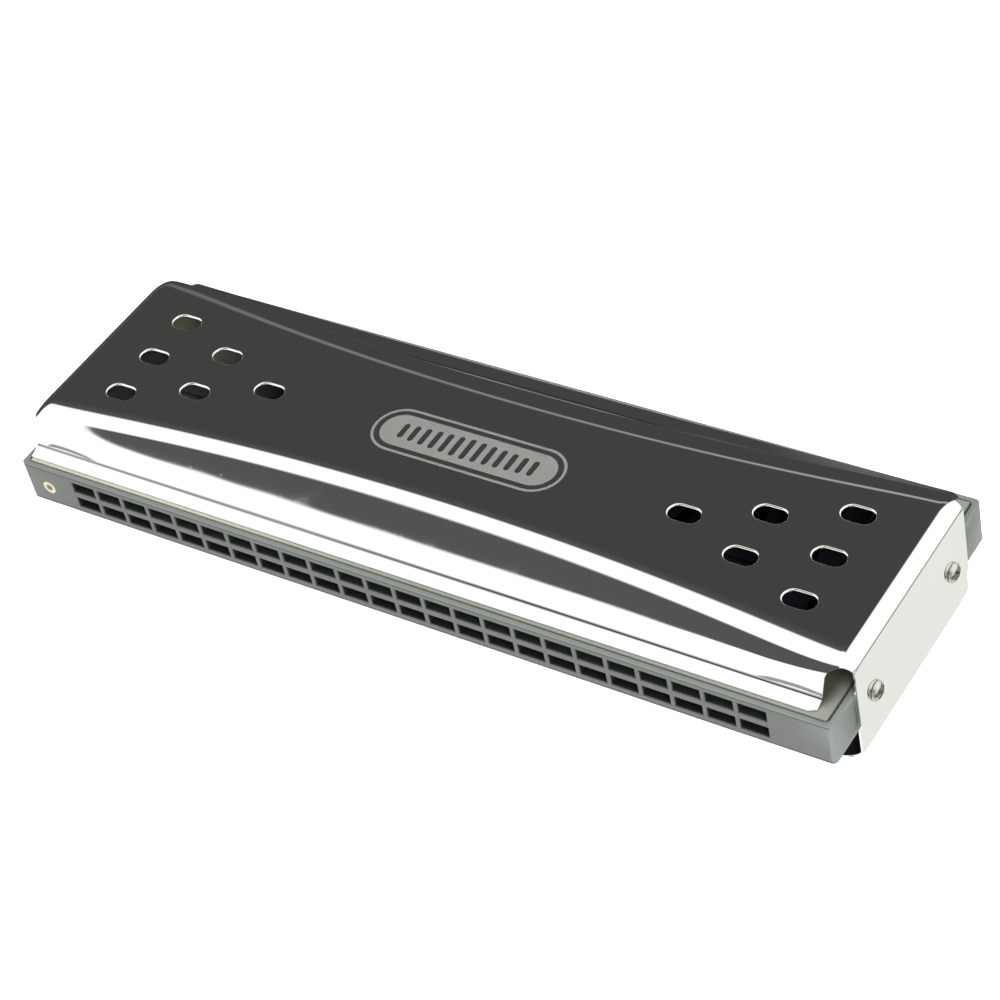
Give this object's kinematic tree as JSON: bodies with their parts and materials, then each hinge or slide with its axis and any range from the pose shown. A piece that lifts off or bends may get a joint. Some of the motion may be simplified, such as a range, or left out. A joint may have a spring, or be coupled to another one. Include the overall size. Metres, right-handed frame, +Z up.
{
  "type": "harmonica",
  "caption": "Double-sided tremolo harmonica: plastic comb with mouth holes along both long sides, brass reed plates, and bowed mirror-steel covers with vents.",
  "frame": {"origin": "on the lowest plane of the bottom cover, under the middle of the comb", "axes": "+X along the comb, towards the treble end of the front side; +Y from the front mouth side to the back one; +Z up through the top cover"},
  "size_m": [0.1902, 0.0606, 0.0258],
  "materials": {
    "comb": "satin moulded ABS, grey-green",
    "reed_plate": "rolled sheet, lightly brushed",
    "reed": "filed phosphor bronze",
    "cover": "mirror-polished pressed stainless sheet",
    "screw": "bright zinc plate"
  },
  "bodies": {
    "harmonica": {"comb": "comb", "reed_plate_top_front": "reed_plate", "plate_screw_top_front_1": "screw", "plate_screw_top_front_2": "screw", "plate_screw_top_front_3": "screw", "plate_screw_top_front_4": "screw", "plate_screw_top_front_5": "screw", "reed_plate_top_back": "reed_plate", "plate_screw_top_back_1": "screw", "plate_screw_top_back_2": "screw", "plate_screw_top_back_3": "screw", "plate_screw_top_back_4": "screw", "plate_screw_top_back_5": "screw", "reed_plate_bottom_front": "reed_plate", "plate_screw_bottom_front_1": "screw", "plate_screw_bottom_front_2": "screw", "plate_screw_bottom_front_3": "screw", "plate_screw_bottom_front_4": "screw", "plate_screw_bottom_front_5": "screw", "reed_plate_bottom_back": "reed_plate", "plate_screw_bottom_back_1": "screw", "plate_screw_bottom_back_2": "screw", "plate_screw_bottom_back_3": "screw", "plate_screw_bottom_back_4": "screw", "plate_screw_bottom_back_5": "screw", "top_cover": "cover", "bottom_cover": "cover", "cover_screw_left_front": "screw", "cover_screw_right_front": "screw", "cover_screw_left_back": "screw", "cover_screw_right_back": "screw"},
    "draw_reeds_top_front": {"draw_reeds_top_front": "reed"},
    "blow_reeds_top_front": {"blow_reeds_top_front": "reed"},
    "draw_reeds_top_back": {"draw_reeds_top_back": "reed"},
    "blow_reeds_top_back": {"blow_reeds_top_back": "reed"},
    "draw_reeds_bottom_front": {"draw_reeds_bottom_front": "reed"},
    "blow_reeds_bottom_front": {"blow_reeds_bottom_front": "reed"},
    "draw_reeds_bottom_back": {"draw_reeds_bottom_back": "reed"},
    "blow_reeds_bottom_back": {"blow_reeds_bottom_back": "reed"}
  },
  "joints": [
    {"name": "draw_reeds_top_front_flex", "type": "hinge", "parent": "harmonica", "child": "draw_reeds_top_front", "pos_m": [0, -0.0049, 0.01786], "axis": [1, 0, 0], "range_deg": [-2, 2], "stiffness_Nm_per_rad": 0.01},
    {"name": "blow_reeds_top_front_flex", "type": "hinge", "parent": "harmonica", "child": "blow_reeds_top_front", "pos_m": [0, -0.02845, 0.01674], "axis": [1, 0, 0], "range_deg": [-2, 2], "stiffness_Nm_per_rad": 0.01},
    {"name": "draw_reeds_top_back_flex", "type": "hinge", "parent": "harmonica", "child": "draw_reeds_top_back", "pos_m": [0, 0.0049, 0.01786], "axis": [1, 0, 0], "range_deg": [-2, 2], "stiffness_Nm_per_rad": 0.01},
    {"name": "blow_reeds_top_back_flex", "type": "hinge", "parent": "harmonica", "child": "blow_reeds_top_back", "pos_m": [0, 0.02845, 0.01674], "axis": [1, 0, 0], "range_deg": [-2, 2], "stiffness_Nm_per_rad": 0.01},
    {"name": "draw_reeds_bottom_front_flex", "type": "hinge", "parent": "harmonica", "child": "draw_reeds_bottom_front", "pos_m": [0, -0.0049, 0.00794], "axis": [1, 0, 0], "range_deg": [-2, 2], "stiffness_Nm_per_rad": 0.01},
    {"name": "blow_reeds_bottom_front_flex", "type": "hinge", "parent": "harmonica", "child": "blow_reeds_bottom_front", "pos_m": [0, -0.02845, 0.00906], "axis": [1, 0, 0], "range_deg": [-2, 2], "stiffness_Nm_per_rad": 0.01},
    {"name": "draw_reeds_bottom_back_flex", "type": "hinge", "parent": "harmonica", "child": "draw_reeds_bottom_back", "pos_m": [0, 0.0049, 0.00794], "axis": [1, 0, 0], "range_deg": [-2, 2], "stiffness_Nm_per_rad": 0.01},
    {"name": "blow_reeds_bottom_back_flex", "type": "hinge", "parent": "harmonica", "child": "blow_reeds_bottom_back", "pos_m": [0, 0.02845, 0.00906], "axis": [1, 0, 0], "range_deg": [-2, 2], "stiffness_Nm_per_rad": 0.01}
  ]
}
